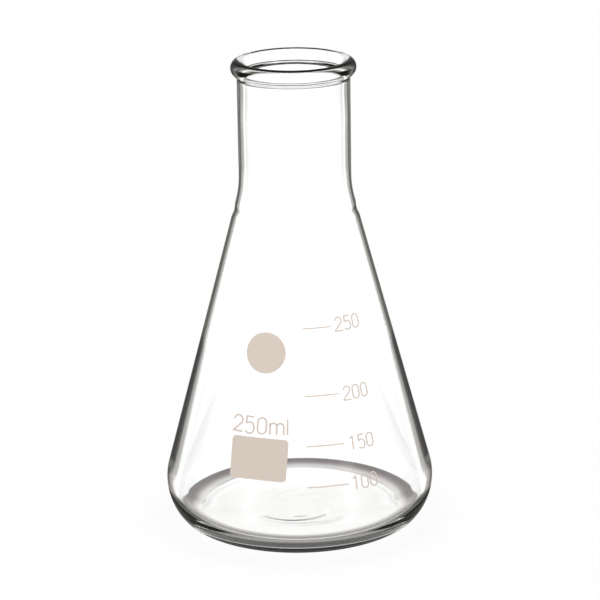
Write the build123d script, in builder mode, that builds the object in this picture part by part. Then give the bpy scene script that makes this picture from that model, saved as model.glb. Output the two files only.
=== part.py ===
from build123d import *
import os
from math import acos, asin, atan2, cos, degrees, hypot, pi, radians, sin, tan

# Narrow-neck conical flask for 250 ml, in millimetres and degrees.
# It stands on z = 0 with its axis on Z, and its markings face -Y.

# Outside of the vessel
height = 148.7
base_diameter = 85.0
neck_diameter = 35.0
shoulder_height = 108.3        # where the straight sides of cone and neck would cross
shoulder_radius = 29.7
heel_upper_radius = 17.4
heel_lower_radius = 7.4
heel_join_angle = 37.4         # below the horizontal, where the two arcs of the heel meet

# Beaded lip, an ellipse in section, which closes in to a throat for the stopper
lip_bulge = 1.9                # how far the lip stands out from the neck
lip_height = 5.7
lip_crest_inset = 0.45         # from the neck's outside in to the circle of the highest points
throat_wall = 2.7              # from the neck's outside in to the throat
throat_mouth = 4.5             # depth of the rounded mouth above the straight throat
throat_length = 6.5
throat_taper = 12.0            # below the throat, where the bore opens out to the neck's

# Thickness of the glass
neck_wall = 1.8
shoulder_wall = 1.6
heel_wall = 2.1                # at the widest place
heel_inner_radius = 10.0
base_edge_wall = 2.5           # over the resting ring
base_centre_wall = 2.3

# Underside: a flat resting ring round a hollow with pressed ripples
resting_ring_width = 3.5
punt_depth = 1.2
ripple_count = 3
ripple_start = 8.5             # radius of the innermost ripple
ripple_pitch = 5.5
ripple_width = 2.4
ripple_depth = 0.2

# Shallow ring that the mould leaves on the cone, just below the shoulder
mould_ring_gap = 1.8           # along the cone, down from where the shoulder's curve starts
mould_ring_width = 5.7         # along the cone
mould_ring_depth = 0.4

# White enamel, fired on the outside of the cone
enamel_thickness = 0.1
graduations = (100, 150, 200, 250)    # millilitres
line_width = 0.34                     # up the axis
line_start = 3.4                      # degrees round the axis, counted from the front
line_span = 18.3
label_azimuth = -19.4                 # middle of the writing panel and of the round spot
label_span = 90.0                     # part of a turn within which both of them lie
panel_width = 18.2
panel_height = 13.0                   # along the cone
panel_corner_radius = 1.3
panel_centre_height = 31.9
spot_diameter = 12.6
spot_centre_height = 63.3

# Radii that follow from the diameters
base_radius = base_diameter / 2
neck_radius = neck_diameter / 2
bore_radius = neck_radius - neck_wall
throat_radius = neck_radius - throat_wall
crest_radius = neck_radius - lip_crest_inset
lip_half_width = lip_bulge + lip_crest_inset
lip_half_height = lip_height / 2
lip_centre = Vector(crest_radius, height - lip_half_height)
lip_root_angle = degrees(acos(lip_crest_inset / lip_half_width))
lip_root = Vector(neck_radius, lip_centre.Y - lip_half_height * sin(radians(lip_root_angle)))


def normal(lean):
    """Unit vector square to a wall that leans inwards by this angle, pointing outwards."""
    return Vector(cos(radians(lean)), sin(radians(lean)))


def uphill(lean):
    """Unit vector up a wall that leans inwards by this angle."""
    return Vector(-sin(radians(lean)), cos(radians(lean)))


def lean_of_tangent(corner, centre, radius):
    """Lean of the wall that comes down from the corner and touches the circle's outer side."""
    rise = corner - centre
    return degrees(atan2(rise.Y, rise.X) - acos(radius / hypot(rise.X, rise.Y)))


# Outer cone: it touches the upper arc of the heel and ends at the shoulder's corner
shoulder_corner = Vector(neck_radius, shoulder_height)
heel_step = heel_upper_radius - heel_lower_radius
heel_centre = Vector(
    base_radius - heel_upper_radius,
    heel_lower_radius + heel_step * sin(radians(heel_join_angle)),
)
ring_radius = heel_centre.X + heel_step * cos(radians(heel_join_angle))
punt_radius = ring_radius - resting_ring_width
hollow_radius = (punt_radius**2 + punt_depth**2) / (2 * punt_depth)
cone_lean = lean_of_tangent(shoulder_corner, heel_centre, heel_upper_radius)
cone_foot = heel_centre + normal(cone_lean) * heel_upper_radius

# Inner cone: it touches the inner arc of the heel and leaves the shoulder its wall
inner_heel_centre = Vector(
    base_radius - heel_wall - heel_inner_radius, base_edge_wall + heel_inner_radius
)
inner_start = shoulder_corner - normal(cone_lean) * shoulder_wall
inner_lean = lean_of_tangent(inner_start, inner_heel_centre, heel_inner_radius)
inner_foot = inner_heel_centre + normal(inner_lean) * heel_inner_radius
inner_rise = (inner_start.X - bore_radius) / sin(radians(inner_lean))
inner_corner = inner_start + uphill(inner_lean) * inner_rise
inner_shoulder_radius = shoulder_radius + neck_wall


def on_cone(at_height):
    """Point of the outer cone at this height, as radius and height."""
    rise = (at_height - cone_foot.Y) / cos(radians(cone_lean))
    return cone_foot + uphill(cone_lean) * rise


def hollow_angle(radius):
    """Angle between the axis and this radius, seen from the centre of the spherical hollow."""
    return degrees(asin(radius / hollow_radius))


def side_outline():
    """Cone with its mould ring, shoulder and neck, from the heel up to the lip."""
    trim = shoulder_radius * tan(radians(cone_lean / 2))
    shoulder_start = shoulder_corner - uphill(cone_lean) * trim
    ring_high = shoulder_start - uphill(cone_lean) * mould_ring_gap
    ring_low = ring_high - uphill(cone_lean) * mould_ring_width
    ring_deep = (ring_high + ring_low) / 2 - normal(cone_lean) * mould_ring_depth
    Line(cone_foot, ring_low)
    ThreePointArc(ring_low, ring_deep, ring_high)
    Line(ring_high, shoulder_start)
    shoulder = JernArc(shoulder_start, uphill(cone_lean), shoulder_radius, -cone_lean)
    Line(shoulder @ 1, lip_root)


def outer_outline():
    """Underside, heel, side and outer half of the lip, up to its crest."""
    hollow = JernArc((0, punt_depth), (1, 0), hollow_radius, -hollow_angle(punt_radius))
    Line(hollow @ 1, (ring_radius, 0))
    lower_heel = JernArc((ring_radius, 0), (1, 0), heel_lower_radius, 90 - heel_join_angle)
    upper_heel_arc = heel_join_angle + cone_lean
    JernArc(lower_heel @ 1, lower_heel % 1, heel_upper_radius, upper_heel_arc)
    side_outline()
    EllipticalCenterArc(
        lip_centre,
        lip_half_width,
        lip_half_height,
        start_angle=-lip_root_angle,
        arc_size=90 + lip_root_angle,
    )


def inner_outline():
    """Mouth, throat, bore, shoulder and cone, from the crest down to the heel."""
    mouth = EllipticalCenterArc(
        (crest_radius, height - throat_mouth),
        crest_radius - throat_radius,
        throat_mouth,
        start_angle=90,
        arc_size=90,
    )
    throat = Line(mouth @ 1, mouth @ 1 - Vector(0, throat_length))
    taper_end = Vector(bore_radius, (throat @ 1).Y - throat_taper)
    half_drop = Vector(0, throat_taper / 2)
    taper = Bezier(throat @ 1, throat @ 1 - half_drop, taper_end + half_drop, taper_end)

    trim = inner_shoulder_radius * tan(radians(inner_lean / 2))
    shoulder_top = inner_corner + Vector(0, trim)
    Line(taper @ 1, shoulder_top)
    shoulder = JernArc(shoulder_top, (0, -1), inner_shoulder_radius, inner_lean)
    Line(shoulder @ 1, inner_foot)


def floor_outline():
    """Inner heel and floor, from the inner cone's foot in to the axis."""
    heel = JernArc(inner_foot, -uphill(inner_lean), heel_inner_radius, -90 - inner_lean)
    floor_middle = Vector(0, punt_depth + base_centre_wall)
    half_across = Vector((heel @ 1).X / 2, 0)
    Bezier(heel @ 1, heel @ 1 - half_across, floor_middle + half_across, floor_middle)


def volume_below_cone():
    """Volume that the vessel holds up to the foot of the inner cone, in cubic millimetres."""
    with BuildPart() as pool:
        with BuildSketch(Plane.XZ):
            with BuildLine():
                floor_outline()
                Polyline((0, punt_depth + base_centre_wall), (0, inner_foot.Y), inner_foot)
            make_face()
        revolve(axis=Axis.Z)
    return pool.part.volume


def fill_height(volume):
    """Height to which this volume fills the vessel, where the inside is a true cone."""
    narrowing = tan(radians(inner_lean))
    cubed = inner_foot.X**3 - 3 * narrowing * (volume - heel_volume) / pi
    return inner_foot.Y + (inner_foot.X - cubed ** (1 / 3)) / narrowing


def meridian(azimuth):
    """Upright plane through the axis, whose X runs outwards at this angle from the front."""
    outwards = Vector(sin(radians(azimuth)), -cos(radians(azimuth)))
    return Plane(origin=(0, 0, 0), x_dir=outwards, z_dir=outwards.cross(Vector(0, 0, 1)))


def cone_plane(azimuth, at_height):
    """Plane that touches the outer cone at this place."""
    section = meridian(azimuth)
    touch = section.from_local_coords(on_cone(at_height))
    outwards = section.from_local_coords(normal(cone_lean))
    across = Vector(cos(radians(azimuth)), sin(radians(azimuth)))
    return Plane(origin=touch, x_dir=across, z_dir=outwards)


def enamel_sleeve(azimuth, span):
    """Thin layer on the whole side of the glass, round from this angle by this span."""
    with BuildSketch(meridian(azimuth)) as section:
        with BuildLine():
            side_outline()
            offset(amount=enamel_thickness, side=Side.RIGHT)
        make_face()
    revolve(section.sketch, axis=Axis.Z, revolution_arc=span)


def cut_ripples():
    """Concentric ripples in the hollow of the underside, each an arc in section."""
    ripple_radius = (ripple_width**2 / 4 + ripple_depth**2) / (2 * ripple_depth)
    reach = hollow_radius - ripple_radius + ripple_depth
    with BuildSketch(Plane.XZ) as grooves:
        for number in range(ripple_count):
            angle = radians(hollow_angle(ripple_start + number * ripple_pitch))
            drop = punt_depth - hollow_radius
            with Locations((reach * sin(angle), drop + reach * cos(angle))):
                Circle(ripple_radius)
    revolve(grooves.sketch, axis=Axis.Z, mode=Mode.SUBTRACT)


os.makedirs("parts", exist_ok=True)

with BuildPart() as flask_body:
    with BuildSketch(Plane.XZ):
        with BuildLine():
            outer_outline()
            inner_outline()
            floor_outline()
            Line((0, punt_depth + base_centre_wall), (0, punt_depth))
        make_face()
    revolve(axis=Axis.Z)
    cut_ripples()
flask_body.part.label = "flask_body"
export_step(flask_body.part, "parts/flask_body.step")

heel_volume = volume_below_cone()

with BuildPart() as marking_panel:
    enamel_sleeve(label_azimuth - label_span / 2, label_span)
    with BuildSketch(cone_plane(label_azimuth, panel_centre_height)):
        RectangleRounded(panel_width, panel_height, panel_corner_radius)
    extrude(amount=panel_width / 2, both=True, mode=Mode.INTERSECT)
marking_panel.part.label = "marking_panel"
export_step(marking_panel.part, "parts/marking_panel.step")

with BuildPart() as marking_spot:
    enamel_sleeve(label_azimuth - label_span / 2, label_span)
    with BuildSketch(cone_plane(label_azimuth, spot_centre_height)):
        Circle(spot_diameter / 2)
    extrude(amount=spot_diameter / 2, both=True, mode=Mode.INTERSECT)
marking_spot.part.label = "marking_spot"
export_step(marking_spot.part, "parts/marking_spot.step")

for graduation in graduations:
    line_height = fill_height(graduation * 1000)
    with BuildPart() as graduation_line:
        enamel_sleeve(line_start, line_span)
        with Locations((0, 0, line_height)):
            Cylinder(base_radius, line_width, mode=Mode.INTERSECT)
    graduation_line.part.label = f"graduation_line_{graduation}"
    export_step(graduation_line.part, f"parts/graduation_line_{graduation}.step")
    print(f"{graduation} ml line at {line_height:.2f} mm")
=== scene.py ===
from math import acos, atan2, ceil, cos, degrees, hypot, pi, radians, sin, tan

import bmesh
import bpy
from mathutils import Matrix, Vector, noise


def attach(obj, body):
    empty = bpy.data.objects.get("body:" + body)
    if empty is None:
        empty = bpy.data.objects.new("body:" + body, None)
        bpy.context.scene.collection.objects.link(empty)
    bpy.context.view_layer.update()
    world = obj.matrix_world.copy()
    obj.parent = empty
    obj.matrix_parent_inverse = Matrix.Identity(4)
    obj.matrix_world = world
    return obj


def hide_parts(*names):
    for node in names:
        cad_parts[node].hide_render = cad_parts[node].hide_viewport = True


bl_info = {
    "name": "Conical flask",
    "version": (1, 0, 0),
    "blender": (4, 5, 0),
    "location": "3D View > Sidebar > Flask",
    "description": "A 250 ml conical flask in clear glass with white enamel markings",
    "category": "Add Mesh",
}

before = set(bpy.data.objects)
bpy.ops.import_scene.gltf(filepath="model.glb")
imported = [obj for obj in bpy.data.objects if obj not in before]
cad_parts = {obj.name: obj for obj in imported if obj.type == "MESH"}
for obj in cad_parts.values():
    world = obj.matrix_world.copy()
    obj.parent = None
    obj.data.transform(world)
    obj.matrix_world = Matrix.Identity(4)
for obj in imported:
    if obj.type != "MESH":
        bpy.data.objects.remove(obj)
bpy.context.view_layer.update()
BODY = "root"
MM = 0.001


def lean_of_tangent(corner, centre, radius):
    """Lean of the wall that comes down from the corner and touches the circle outside."""
    rise = corner - centre
    return degrees(atan2(rise.y, rise.x) - acos(radius / hypot(rise.x, rise.y)))


# sizes of the glass, in millimetres: radii, heights over the bench, and walls
BASE, NECK, HEIGHT = 42.45, 17.45, 148.68
CONE_TOP = 108.3
SHOULDER = 29.7
HOLLOW_DEPTH, HOLLOW_FLAT = 0.25, 2.0
HEEL_SIDE, HEEL_FOOT, HEEL_JOIN = 17.4, 7.4, 37.4
HEEL_CENTRE = Vector(
    (BASE - HEEL_SIDE, HEEL_FOOT + (HEEL_SIDE - HEEL_FOOT) * sin(radians(HEEL_JOIN)))
)
CONE_LEAN = lean_of_tangent(Vector((NECK, CONE_TOP)), HEEL_CENTRE, HEEL_SIDE)
RING_GAP, RING_WIDTH, RING_DEPTH = 0.6, 5.7, 0.3
LIP_SET_BACK, LIP_HALF_WIDTH, LIP_HALF_HEIGHT = 0.45, 2.35, 2.55
MOUTH_BEND, MOUTH_STRETCH, THROAT = 2.25, 1.7, 6.5
FLARE_RUN, FLARE_RISE = 12.0, 0.35
CONE_WALL = 1.5
# the wall thickens below this height, down to the inner heel
INNER_BEND = Vector((28.9, 60.0))
INNER_HEEL = 10.0
FLOOR_HEIGHT, FLOOR_RISE = 2.6, 1.0
INNER_HEEL_CENTRE = Vector((29.75, FLOOR_HEIGHT + INNER_HEEL))
INNER_LEAN = lean_of_tangent(INNER_BEND, INNER_HEEL_CENTRE, INNER_HEEL)

# the swirls of the underside, in metres: where they begin and end, and their depth
RIPPLE_START, RIPPLE_END, RIPPLE_DEPTH = 0.002, 0.021, 0.00007
UNDERSIDE_TOP = 0.0008

# how far the camera looks past the flask's axis, and its roll, in radians
CAMERA_ASIDE, CAMERA_ROLL = -0.001188, -0.0154945

# what the enamel says: text, azimuth of its left end in degrees, height of its middle,
# width and height of a numeral, and width of the nib
MARKS = {
    "enamel_capacity": ("250ml", -34.3, 41.7, 2.85, 4.9, 0.55),
    "enamel_100": ("100", 23.6, 23.8, 2.3, 4.2, 0.42),
    "enamel_150": ("150", 24.4, 35.6, 2.2, 4.2, 0.42),
    "enamel_200": ("200", 24.4, 50.5, 2.2, 4.2, 0.42),
    "enamel_250": ("250", 24.4, 71.1, 2.2, 4.2, 0.42),
}

# ---------------------------------------------------------------- shader maths


class Socket:
    """An output of a shader node, with the usual operators for maths on it."""

    def __init__(self, tree, output):
        self.tree = tree
        self.output = output

    def _maths(self, operation, *values):
        return self.tree.maths(operation, *values)

    def __add__(self, other):
        return self._maths("ADD", self, other)

    def __sub__(self, other):
        return self._maths("SUBTRACT", self, other)

    def __mul__(self, other):
        return self._maths("MULTIPLY", self, other)

    def __truediv__(self, other):
        return self._maths("DIVIDE", self, other)

    def __radd__(self, other):
        return self._maths("ADD", other, self)

    def __rsub__(self, other):
        return self._maths("SUBTRACT", other, self)

    def __rmul__(self, other):
        return self._maths("MULTIPLY", other, self)

    def __rtruediv__(self, other):
        return self._maths("DIVIDE", other, self)

    def __abs__(self):
        return self._maths("ABSOLUTE", self)

    def __gt__(self, other):
        return self._maths("GREATER_THAN", self, other)

    def __mod__(self, other):
        return self._maths("FLOORED_MODULO", self, other)


class Shader:
    """The node tree of a material or world, built one node at a time."""

    def __init__(self, owner):
        owner.use_nodes = True
        self.nodes = owner.node_tree.nodes
        self.links = owner.node_tree.links
        self.nodes.clear()

    def add(self, kind, settings=None, values=None, output=0):
        """Adds a node: its settings first, then a value or a link for each named input."""
        node = self.nodes.new(kind)
        for name, value in (settings or {}).items():
            if name == "stops":
                ramp = node.color_ramp
                while len(ramp.elements) < len(value):
                    ramp.elements.new(0.5)
                for element, (position, level) in zip(ramp.elements, value):
                    colour = level if isinstance(level, tuple) else (level, level, level)
                    element.position = position
                    element.color = (*colour, 1)
            else:
                setattr(node, name, value)
        for name, value in (values or {}).items():
            if isinstance(value, Socket):
                self.links.new(value.output, node.inputs[name])
            else:
                node.inputs[name].default_value = value
        return Socket(self, node.outputs[output]) if len(node.outputs) else None

    def maths(self, operation, *values):
        """Result of a Math node on these numbers or sockets."""
        return self.add("ShaderNodeMath", {"operation": operation}, dict(enumerate(values)))

    def light_path(self, name):
        """What the light's path has gone through so far."""
        return self.add("ShaderNodeLightPath", output=name)

    def place(self, kind="Object"):
        """Where the shaded point lies."""
        return self.add("ShaderNodeTexCoord", output=kind)

    def split(self, vector):
        """The three parts of a vector."""
        first = self.add("ShaderNodeSeparateXYZ", values={0: vector})
        return [Socket(self, output) for output in first.output.node.outputs]

    def ramp(self, value, low, high, *stops):
        """Level that follows these pairs of value and level, straight between them."""
        share = (value - low) / (high - low)
        stops = [((at - low) / (high - low), level) for at, level in stops]
        return self.add("ShaderNodeValToRGB", {"stops": stops}, {0: share})

    def mix(self, factor, first, second):
        """The first shader where the factor is 0, the second where it is 1."""
        return self.add("ShaderNodeMixShader", values={0: factor, 1: first, 2: second})


# ---------------------------------------------------------------- settings


class GlassSettings(bpy.types.PropertyGroup):
    """Sizes and finish of the glass."""

    ior: bpy.props.FloatProperty(
        name="Refraction", description="Index of refraction of the glass", default=1.473
    )
    steps: bpy.props.IntProperty(
        name="Steps", description="Faces round the flask", default=256, min=24
    )


class EnamelSettings(bpy.types.PropertyGroup):
    """Look of the white enamel."""

    colour: bpy.props.FloatVectorProperty(
        name="Colour",
        description="Colour of the fired enamel",
        default=(0.75, 0.645, 0.565),
        size=3,
        min=0,
        max=1,
        subtype="COLOR",
    )
    thickness: bpy.props.FloatProperty(
        name="Thickness",
        description="How thick the numerals lie",
        default=0.14 * MM,
        unit="LENGTH",
    )


class StudioSettings(bpy.types.PropertyGroup):
    """Camera, and strength of the white round the flask."""

    distance: bpy.props.FloatProperty(
        name="Camera distance",
        description="From the flask's axis to the camera, on the floor",
        default=0.79822,
        unit="LENGTH",
    )
    camera_height: bpy.props.FloatProperty(
        name="Camera height",
        description="Height of the camera over the floor",
        default=0.31843,
        unit="LENGTH",
    )
    pitch: bpy.props.FloatProperty(
        name="Pitch",
        description="How far the camera looks down",
        default=radians(17.197),
        subtype="ANGLE",
        unit="ROTATION",
    )
    lens: bpy.props.FloatProperty(
        name="Lens", description="Focal length in millimetres", default=159.4
    )
    seen_through: bpy.props.FloatProperty(
        name="White through glass",
        description="Strength of the white behind the glass, against its reflections",
        default=1.2,
    )
    filled: bpy.props.FloatProperty(
        name="White in reflections",
        description="Strength of the white that the glass mirrors from its inside",
        default=1.3,
    )


# ---------------------------------------------------------------- shapes


def new_object(name, bm, material, smooth=True):
    """Turns a bmesh into an object at the origin, linked into the scene; the callers attach
    it to the flask.
    """
    mesh = bpy.data.meshes.new(name)
    bm.to_mesh(mesh)
    bm.free()
    mesh.materials.append(material)
    if smooth:
        mesh.shade_smooth()
    piece = bpy.data.objects.new(name, mesh)
    bpy.context.scene.collection.objects.link(piece)
    return piece


class Pen:
    """Draws with a point, or with a nib of some width, in the XZ plane."""

    def __init__(self, bm, x, z, heading, nib=0.0):
        self.bm = bm
        self.heading = radians(heading)
        start = Vector((x, 0, z))
        if nib:
            verts = [bm.verts.new(start + self.left * (nib * side)) for side in (-0.5, 0.5)]
            self.tip = verts + [bm.edges.new(verts)]
        else:
            self.tip = [bm.verts.new(start)]

    @property
    def direction(self):
        return Vector((cos(self.heading), 0, sin(self.heading)))

    @property
    def left(self):
        return Vector((-sin(self.heading), 0, cos(self.heading)))

    @property
    def points(self):
        return [part for part in self.tip if isinstance(part, bmesh.types.BMVert)]

    @property
    def place(self):
        return sum((point.co for point in self.points), Vector()) / len(self.points)

    def _sweep(self, steps, **motion):
        motion = {"axis": (0, -1, 0), "cent": (0, 0, 0), "angle": 0.0, **motion}
        made = bmesh.ops.spin(self.bm, geom=self.tip, steps=steps, **motion)
        self.tip = made["geom_last"]

    def line(self, length, steps=1):
        """Straight on by this length."""
        self._sweep(steps, dvec=self.direction * (length / steps))

    def line_to(self, x, z, steps=1):
        """Straight to this point, which turns the heading that way."""
        rise = Vector((x, 0, z)) - self.place
        self.heading = atan2(rise.z, rise.x)
        self.line(rise.length, steps)

    def turn(self, radius, angle, steps):
        """Round an arc: a positive angle turns left."""
        side = 1 if angle > 0 else -1
        centre = self.place + self.left * (radius * side)
        self._sweep(steps, cent=centre, angle=radians(angle))
        self.heading += radians(angle)

    def sway(self, run, rise, steps):
        """To the side by the rise over this run, and straight on again."""
        bend = degrees(2 * atan2(rise, run))
        radius = run / (2 * sin(radians(abs(bend))))
        self.turn(radius, bend, steps)
        self.turn(radius, -bend, steps)

    def wave(self, length, depth, steps):
        """One ripple: to the side by this depth and back, over this length."""
        self.sway(length / 2, depth, steps)
        self.sway(length / 2, -depth, steps)


def spin_round(bm, steps):
    """Turns the drawn section all the way round the Z axis."""
    bmesh.ops.spin(
        bm,
        geom=bm.verts[:] + bm.edges[:],
        cent=(0, 0, 0),
        axis=(0, 0, 1),
        angle=2 * pi,
        steps=steps,
        use_merge=True,
    )
    bmesh.ops.remove_doubles(bm, verts=bm.verts, dist=1e-7)
    bmesh.ops.recalc_face_normals(bm, faces=bm.faces)


def ripple_underside(bm):
    """Presses faint broken swirls into the hollow of the underside."""
    for vert in bm.verts:
        x, y, z = vert.co
        out = hypot(x, y)
        if z < UNDERSIDE_TOP and RIPPLE_START < out < RIPPLE_END:
            # the noise turns with the radius, and changes faster outwards than round
            swirl = Matrix.Rotation(out * 60, 3, "Z") @ Vector((x, y, 0))
            where = swirl * (1.3 / out) + Vector((0, 0, out * 420))
            fade = sin(pi * (out - RIPPLE_START) / (RIPPLE_END - RIPPLE_START))
            vert.co.z += RIPPLE_DEPTH * fade * noise.noise(where)


def cone_radius(height):
    """Radius of the glass cone at this height, in millimetres."""
    return NECK + (CONE_TOP - height) * tan(radians(CONE_LEAN))


def draw_section(bm):
    """Half section of the flask, from the middle of the underside out and back in."""
    pen = Pen(bm, 0, HOLLOW_DEPTH, 0)
    # underside: a shallow hollow that comes down to the resting ring
    pen.line(HOLLOW_FLAT, 3)
    ring = HEEL_CENTRE.x + (HEEL_SIDE - HEEL_FOOT) * cos(radians(HEEL_JOIN))
    pen.sway(ring - pen.place.x, -pen.place.z, 25)
    # heel
    pen.turn(HEEL_FOOT, 90 - HEEL_JOIN, 18)
    pen.turn(HEEL_SIDE, HEEL_JOIN + CONE_LEAN, 24)
    # cone, mould ring, shoulder and neck
    lean = radians(CONE_LEAN)
    ring_top = CONE_TOP - (SHOULDER * tan(lean / 2) + RING_GAP) * cos(lean)
    rise = (ring_top - pen.place.z) / cos(lean)
    pen.line(rise - RING_WIDTH, 36)
    pen.wave(RING_WIDTH, RING_DEPTH, 5)
    pen.line(RING_GAP, 2)
    pen.turn(SHOULDER, -CONE_LEAN, 12)
    # lip: its outer half, an ellipse that is drawn as a circle and stretched
    root = degrees(acos(LIP_SET_BACK / LIP_HALF_WIDTH))
    root_height = HEIGHT - LIP_HALF_HEIGHT - LIP_HALF_HEIGHT * sin(radians(root))
    pen.line(root_height - pen.place.z, 20)
    lip_start = pen.points
    before = set(bm.verts)
    pen.heading = radians(90 - root)
    pen.turn(LIP_HALF_WIDTH, 90 + root, 30)
    lip = [vert for vert in bm.verts if vert not in before] + lip_start
    bmesh.ops.scale(
        bm,
        verts=lip,
        vec=(1, 1, LIP_HALF_HEIGHT / LIP_HALF_WIDTH),
        space=Matrix.Translation((0, 0, -(pen.place.z - LIP_HALF_WIDTH))),
    )
    bmesh.ops.translate(bm, verts=lip, vec=(0, 0, HEIGHT - pen.place.z))
    # mouth, throat and bore
    before = set(bm.verts)
    pen.heading = pi
    pen.turn(MOUTH_BEND, 90, 16)
    bmesh.ops.scale(
        bm,
        verts=[vert for vert in bm.verts if vert not in before],
        vec=(1, 1, MOUTH_STRETCH),
        space=Matrix.Translation((0, 0, -HEIGHT)),
    )
    pen.line(THROAT, 8)
    pen.sway(FLARE_RUN, FLARE_RISE, 6)
    # inner shoulder, with the mould ring pressed through, then the cone and heel
    inner_shoulder = SHOULDER + NECK - pen.place.x
    corner = CONE_TOP + (NECK - CONE_WALL / cos(lean) - pen.place.x) / tan(lean)
    pen.line(pen.place.z - corner - inner_shoulder * tan(lean / 2), 14)
    pen.turn(inner_shoulder, CONE_LEAN, 12)
    pen.line((pen.place.z - ring_top) / cos(lean) + CONE_WALL * tan(lean), 2)
    pen.wave(RING_WIDTH, -RING_DEPTH, 5)
    inner_lean = radians(INNER_LEAN)
    foot = INNER_HEEL_CENTRE + INNER_HEEL * Vector((cos(inner_lean), sin(inner_lean)))
    pen.line_to(*INNER_BEND, 20)
    pen.line_to(*foot, 20)
    pen.turn(INNER_HEEL, -90 - INNER_LEAN, 24)
    # floor, a little higher in the middle
    pen.heading = pi
    pen.sway(pen.place.x, -FLOOR_RISE, 10)
    pen.points[0].co.x = 0
    bmesh.ops.scale(bm, verts=bm.verts, vec=(MM, MM, MM))


def draw_mark(bm, mark, width, height, nib):
    """A numeral or letter in strokes of the nib, this wide and high along their middles."""
    bend = width / 2
    upright = height - width
    low = 0.72 * height
    hump = width / 4
    slope = 1.02 * hypot(bend * 1.7, height - 1.7 * bend)
    # each stroke: where it begins, its heading, then its moves: (length) or (radius, angle)
    strokes = {
        "0": [(0, bend, 90, (upright,), (bend, -180), (upright,), (bend, -180))],
        "1": [(bend, 0, 90, (height + nib / 2,)), (bend, height, 220, (0.3 * height,))],
        "2": [
            (0, height - bend, 90, (bend, -225), (slope,)),
            (-nib / 2, 0, 0, (width + nib,)),
        ],
        "5": [
            (0.1 * width, height, 0, (0.85 * width,)),
            (0.1 * width, height + nib / 2, 268, (0.5 * height,)),
            (0.12 * width, 0.55 * height, 50, (bend, -140), (0.13 * height,), (bend, -150)),
        ],
        "m": [
            (0, 0, 90, (low,)),
            (0, low - hump, 90, (hump, -180), (low - hump,)),
            (width / 2, low - hump, 90, (hump, -180), (low - hump,)),
        ],
        "l": [(0, 0, 90, (height,))],
    }
    for x, z, heading, *moves in strokes[mark]:
        pen = Pen(bm, x, z, heading, nib)
        for move in moves:
            if len(move) == 1:
                pen.line(move[0], ceil(move[0] / 0.6))
            else:
                pen.turn(*move, ceil(abs(move[1]) / 15))


def thicken_strokes(bm, thickness):
    """Makes the flat strokes solid: a little in the glass, the rest out of it."""
    bmesh.ops.remove_doubles(bm, verts=bm.verts, dist=1e-5)
    made = bmesh.ops.extrude_face_region(bm, geom=bm.faces[:], use_keep_orig=True)
    front = [part for part in made["geom"] if isinstance(part, bmesh.types.BMVert)]
    bmesh.ops.translate(bm, verts=front, vec=(0, -thickness, 0))
    bmesh.ops.translate(bm, verts=bm.verts, vec=(0, 0.02, 0))
    bmesh.ops.recalc_face_normals(bm, faces=bm.faces)


def lay_on_cone(bm, azimuth, height):
    """Bends a flat mark round the cone: Z runs up the glass, and -Y out from it."""
    lean = radians(CONE_LEAN)
    for vert in bm.verts:
        x, y, z = vert.co
        turn = radians(azimuth) + x / cone_radius(height)
        level = height + z * cos(lean) - y * sin(lean)
        radius = cone_radius(height + z * cos(lean)) - y * cos(lean)
        vert.co = Vector((radius * sin(turn), -radius * cos(turn), level)) * MM


# ---------------------------------------------------------------- materials


def glass_material(settings):
    """Clear glass that casts no dark shadow and is faintly green in depth, with painted
    shade that darkens its colour where it is seen at a grazing angle.
    """
    material = bpy.data.materials.new("borosilicate glass")
    shader = Shader(material)
    # painted shade: the colour of the glass darkens towards grazing angles, standing in for
    # the dark lines at its edges
    facing = shader.add("ShaderNodeLayerWeight", values={"Blend": 0.5}, output="Facing")
    edge = shader.ramp(facing, 0, 1, (0.70, 1.0), (0.86, 0.85), (0.97, 0.45))
    glass = shader.add(
        "ShaderNodeBsdfPrincipled",
        values={
            "Base Color": edge,
            "Roughness": 0.0,
            "IOR": settings.ior,
            "Transmission Weight": 1.0,
        },
    )
    clear = shader.add("ShaderNodeBsdfTransparent")
    surface = shader.mix(shader.light_path("Is Shadow Ray"), glass, clear)
    depth = shader.add(
        "ShaderNodeVolumeAbsorption",
        values={"Color": (0.80, 0.88, 0.82, 1), "Density": 30.0},
    )
    shader.add("ShaderNodeOutputMaterial", values={"Surface": surface, "Volume": depth})
    return material


def enamel_material(settings):
    """Matt white enamel with the fine mottle of a fired print, and painted light that makes
    it a little lighter higher up.
    """
    material = bpy.data.materials.new("fired enamel")
    shader = Shader(material)
    place = shader.place()
    mottle = shader.add(
        "ShaderNodeTexNoise", values={"Vector": place, "Scale": 1400.0, "Detail": 3.0}
    )
    # painted light: the colour is a little darker low on the flask and full higher up,
    # where the enamel is better lit
    height = 1000 * shader.split(place)[2]
    mottle_and_painted_light = shader.ramp(mottle * 0.04 + height, 0, 100, (30, 0.96), (70, 1.0))
    colour = shader.add(
        "ShaderNodeMix",
        {"data_type": "RGBA", "blend_type": "MULTIPLY"},
        {0: 1.0, 6: (*settings.colour, 1), 7: mottle_and_painted_light},
        output=2,
    )
    bump = shader.add(
        "ShaderNodeBump", values={"Strength": 0.15, "Distance": 0.0001, "Height": mottle}
    )
    enamel = shader.add(
        "ShaderNodeBsdfPrincipled",
        values={"Base Color": colour, "Roughness": 0.55, "Normal": bump},
    )
    shader.add("ShaderNodeOutputMaterial", values={"Surface": enamel})
    return material


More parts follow.
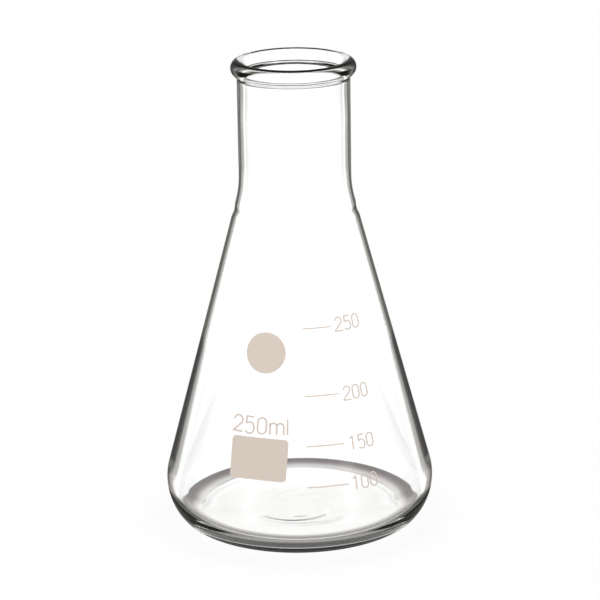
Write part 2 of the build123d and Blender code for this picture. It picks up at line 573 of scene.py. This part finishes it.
def background_world(world, settings):
    """White to look at, straight or through the glass, with dark cards in its walls.

    The ramps follow the azimuth, folded to 0 to 45 degrees, so all four sides look alike.
    """
    shader = Shader(world)
    x, y, z = shader.split(shader.place("Generated"))
    turn = shader.maths("ARCTAN2", x, y) * (180 / pi)
    aside = abs((turn + 45) % 90 - 45)
    # cards: mirrored inside the wall; edges: by its outer face; sky: beyond the inside
    cards = shader.ramp(
        aside,
        0,
        45,
        (0, 0.42),
        (6, 0.34),
        (10, (0.24, 0.235, 0.205)),
        (14, (0.14, 0.14, 0.115)),
        (17, (0.06, 0.06, 0.048)),
        (21, (0.05, 0.05, 0.04)),
        (24, (0.14, 0.135, 0.12)),
        (27, (0.32, 0.30, 0.28)),
        (30, (0.46, 0.42, 0.40)),
        (36, (0.46, 0.42, 0.40)),
        (39, 0.7),
        (41, 1.1),
        (45, settings.filled),
    )
    edges = shader.ramp(aside, 0, 45, (0, 0.3), (20, 0.12), (34, 0.3), (42, 1.0), (45, 1.1))
    over = settings.seen_through
    horizon = shader.ramp(z, -1, 1, (0.08, over), (0.10, 0.12), (0.22, 0.12), (0.25, 1.0))
    sky = shader.ramp(z, -1, 1, (0.15, settings.filled), (0.35, (0.55, 0.5, 0.47)))
    twice_mirrored = (0.28, 0.27, 0.24, 1)
    camera = shader.light_path("Is Camera Ray")
    mirrored = shader.light_path("Glossy Depth") > 0.5
    crossed = shader.light_path("Transmission Depth")
    plain, through, wall, deep, edge, inner = [
        shader.add("ShaderNodeBackground", values={"Color": colour})
        for colour in ((1, 1, 1, 1), horizon, cards, twice_mirrored, edges, sky)
    ]
    seen = shader.mix(crossed > 0.5, plain, through)
    inside = shader.mix(shader.light_path("Glossy Depth") > 1.5, wall, deep)
    mirror = shader.mix(crossed > 2.5, shader.mix(crossed > 0.5, edge, inside), inner)
    light = shader.mix(mirrored, seen, mirror)
    surface = shader.mix(camera, light, plain)
    shader.add("ShaderNodeOutputWorld", values={"Surface": surface})


def floor_material(settings):
    """White floor with the flask's faint ring of shadow painted into its glow, which shows
    through the glass, and more painted shade under the heel and round the flask.

    The ramps follow the distance from the flask's axis, in millimetres.
    """
    material = bpy.data.materials.new("white floor")
    shader = Shader(material)
    place = shader.place()
    length = shader.add(
        "ShaderNodeVectorMath", {"operation": "LENGTH"}, {0: place}, output="Value"
    )
    about = 1000 * length
    # painted shadow: the flask's ring of shadow, painted into the floor's glow for rays
    # through the glass and rays it mirrors
    # in front of the flask the ring lies a little nearer to the axis
    front = shader.maths("MINIMUM", shader.split(place)[1], 0)
    ring = shader.ramp(
        about - front * 290,
        0,
        60,
        (33, 1),
        (34.5, (0.73, 0.71, 0.71)),
        (35.5, (0.61, 0.58, 0.585)),
        (36.5, (0.48, 0.45, 0.455)),
        (37.5, (0.34, 0.31, 0.318)),
        (38.5, (0.26, 0.235, 0.242)),
        (39.5, (0.2, 0.178, 0.185)),
        (41.8, (0.185, 0.163, 0.17)),
        (42.4, 1),
    )
    # painted shade: dark and pale bands under the heel, for rays that the glass mirrors
    # down onto the floor near it
    painted_heel_shade = shader.ramp(
        about,
        0,
        60,
        (29, 0.65),
        (30.8, 0.6),
        (31.6, 0.12),
        (35.6, 0.1),
        (36.8, (0.42, 0.40, 0.40)),
        (39.5, (0.40, 0.39, 0.36)),
        (41.5, 0.12),
        (44, (0.25, 0.25, 0.21)),
        (46.5, 0.12),
        (51, 0.05),
        (53.5, (0.25, 0.23, 0.22)),
        (55.5, (0.42, 0.39, 0.37)),
    )
    # painted shade: the open floor dims faintly round the flask
    painted_near_shade = shader.ramp(about, 0, 60, (36, 1), (43, 0.97), (50, 1))
    camera = shader.light_path("Is Camera Ray")
    crossed = shader.light_path("Transmission Depth")
    mirrored = shader.light_path("Glossy Depth") > 0.5
    matt = shader.add("ShaderNodeBsdfDiffuse", values={"Color": (0.9, 0.9, 0.9, 1)})
    open_floor, through, below, inner = [
        shader.add("ShaderNodeEmission", values={"Color": colour, "Strength": strength})
        for colour, strength in (
            (painted_near_shade, 1),
            (ring, settings.seen_through),
            (painted_heel_shade, 1),
            (ring, settings.filled),
        )
    ]
    seen = shader.mix(crossed > 0.5, shader.mix(camera * 0.95, matt, open_floor), through)
    clear = shader.add("ShaderNodeBsdfTransparent")
    mirror = shader.mix(crossed > 2.5, shader.mix(about > 60, below, clear), inner)
    surface = shader.mix(mirrored, seen, mirror)
    shader.add("ShaderNodeOutputMaterial", values={"Surface": surface})
    return material


# ---------------------------------------------------------------- operators


class FLASK_OT_glass(bpy.types.Operator):
    """Blow the glass: one wall from the rippled underside to the beaded lip."""

    bl_idname = "flask.glass"
    bl_label = "Flask glass"

    def execute(self, context):
        settings = context.scene.flask_glass
        bm = bmesh.new()
        draw_section(bm)
        spin_round(bm, settings.steps)
        ripple_underside(bm)
        glass = new_object("flask_glass", bm, glass_material(settings))
        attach(glass, BODY)
        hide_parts("flask_body")
        return {"FINISHED"}


class FLASK_OT_enamel(bpy.types.Operator):
    """Fire the enamel: writing panel, round spot and graduation lines."""

    bl_idname = "flask.enamel"
    bl_label = "Enamel panel, spot and lines"

    def execute(self, context):
        enamel = enamel_material(context.scene.flask_enamel)
        for name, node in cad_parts.items():
            if name != "flask_body":
                node.data.materials.clear()
                node.data.materials.append(enamel)
        return {"FINISHED"}


class FLASK_OT_numerals(bpy.types.Operator):
    """Print the numerals beside the lines, and the capacity over the panel."""

    bl_idname = "flask.numerals"
    bl_label = "Enamel numerals"

    def execute(self, context):
        settings = context.scene.flask_enamel
        for name, (text, azimuth, height, width, cap, nib) in MARKS.items():
            bm = bmesh.new()
            across = nib / 2
            for mark in text:
                middle = {"m": 1.5, "l": 0.0, "1": 0.9}.get(mark, 1.0) * width
                before = set(bm.verts)
                draw_mark(bm, mark, middle, cap, nib)
                made = [vert for vert in bm.verts if vert not in before]
                bmesh.ops.translate(bm, verts=made, vec=(across, 0, -cap / 2))
                across += middle + 2.1 * nib
            thicken_strokes(bm, settings.thickness / MM)
            lay_on_cone(bm, azimuth, height)
            numerals = new_object(name, bm, enamel_material(settings), smooth=False)
            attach(numerals, BODY)
        return {"FINISHED"}


class FLASK_OT_studio(bpy.types.Operator):
    """Set the stage: floor, world and camera."""

    bl_idname = "flask.studio"
    bl_label = "Studio"

    def execute(self, context):
        settings = context.scene.flask_studio
        scene = context.scene
        scene.view_settings.view_transform = "Standard"

        bm = bmesh.new()
        bmesh.ops.create_circle(bm, cap_ends=True, segments=64, radius=4.0)
        mesh = bpy.data.meshes.new("floor")
        bm.to_mesh(mesh)
        bm.free()
        mesh.materials.append(floor_material(settings))
        floor = bpy.data.objects.new("floor", mesh)
        floor.location.z = -0.0002
        scene.collection.objects.link(floor)

        world = bpy.data.worlds.new("studio")
        scene.world = world
        background_world(world, settings)

        camera = bpy.data.objects.new("camera", bpy.data.cameras.new("camera"))
        camera.data.lens = settings.lens
        camera.data.sensor_width = 36.0
        camera.location = (0, -settings.distance, settings.camera_height)
        turn = (
            Matrix.Rotation(CAMERA_ASIDE, 3, "Z")
            @ Matrix.Rotation(pi / 2 - settings.pitch, 3, "X")
            @ Matrix.Rotation(CAMERA_ROLL, 3, "Z")
        )
        camera.rotation_euler = turn.to_euler()
        scene.collection.objects.link(camera)
        scene.camera = camera
        return {"FINISHED"}


class FLASK_PT_panel(bpy.types.Panel):
    """Lists the flask's pieces in the sidebar."""

    bl_label = "Conical flask"
    bl_space_type = "VIEW_3D"
    bl_region_type = "UI"
    bl_category = "Flask"

    def draw(self, context):
        for operator in OPERATORS:
            self.layout.operator(operator.bl_idname)


SETTINGS = {
    "flask_glass": GlassSettings,
    "flask_enamel": EnamelSettings,
    "flask_studio": StudioSettings,
}
OPERATORS = (FLASK_OT_glass, FLASK_OT_enamel, FLASK_OT_numerals, FLASK_OT_studio)


def register():
    for name, group in SETTINGS.items():
        bpy.utils.register_class(group)
        setattr(bpy.types.Scene, name, bpy.props.PointerProperty(type=group))
    for operator in OPERATORS:
        bpy.utils.register_class(operator)
    bpy.utils.register_class(FLASK_PT_panel)


def unregister():
    bpy.utils.unregister_class(FLASK_PT_panel)
    for operator in reversed(OPERATORS):
        bpy.utils.unregister_class(operator)
    for name, group in SETTINGS.items():
        delattr(bpy.types.Scene, name)
        bpy.utils.unregister_class(group)


def main():
    register()
    bpy.ops.flask.glass()
    bpy.ops.flask.enamel()
    bpy.ops.flask.numerals()
    bpy.ops.flask.studio()


if __name__ == "__main__":
    main()
